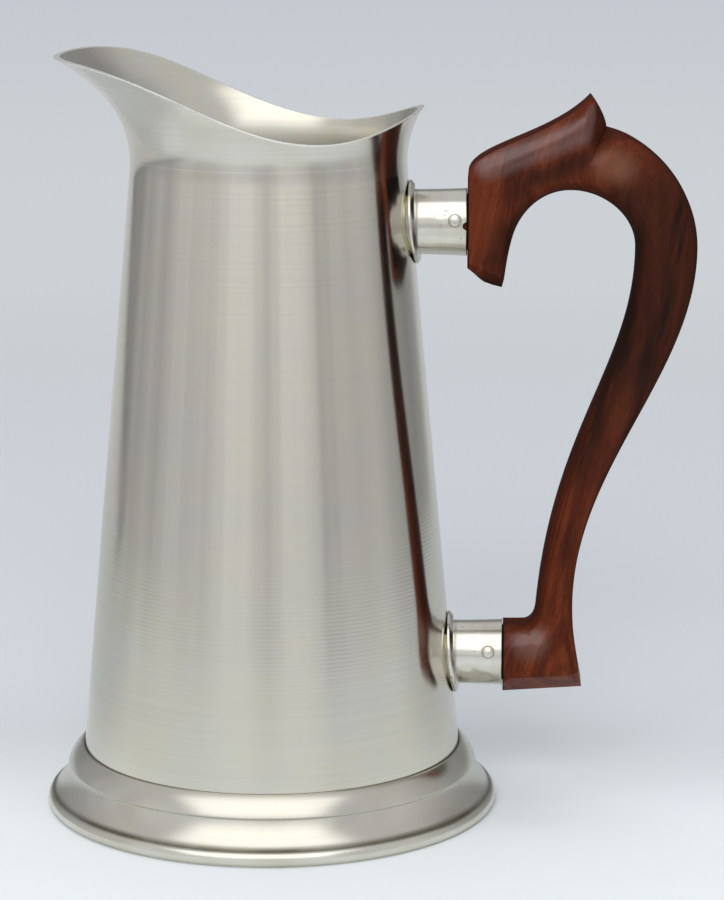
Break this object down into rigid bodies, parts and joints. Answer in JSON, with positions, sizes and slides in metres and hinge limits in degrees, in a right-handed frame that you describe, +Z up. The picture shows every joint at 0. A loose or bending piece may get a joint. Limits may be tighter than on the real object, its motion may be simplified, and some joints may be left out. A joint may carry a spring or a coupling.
{
  "type": "pewter jug",
  "caption": "Open tapered pewter jug with a flared pouring rim, a stepped foot and a carved hardwood handle pinned into sockets.",
  "frame": {"origin": "on the drum's axis, in the plane of the table that the foot's rim wire stands on", "axes": "+Z up along the drum's axis, +X towards the handle, so the spout points to -X"},
  "size_m": [0.1888, 0.1326, 0.22],
  "materials": {
    "pewter_body": "spun satin pewter with fine lines round the drum",
    "pewter_foot": "turned satin pewter, tarnished in the creases",
    "pewter_fittings": "cast pewter, hand filed and polished",
    "pin_metal": "hammered pin heads",
    "rosewood": "carved and oiled rosewood, satin"
  },
  "bodies": {
    "root": {"drum": "pewter_body", "lip_collar": "pewter_body", "floor_plate": "pewter_body", "foot_skirt": "pewter_foot", "foot_rim_wire": "pewter_foot", "upper_socket": "pewter_fittings", "upper_socket_ring": "pewter_fittings", "lower_socket": "pewter_fittings", "lower_socket_ring": "pewter_fittings", "handle": "rosewood", "upper_pin": "pin_metal", "lower_pin": "pin_metal"}
  },
  "joints": []
}
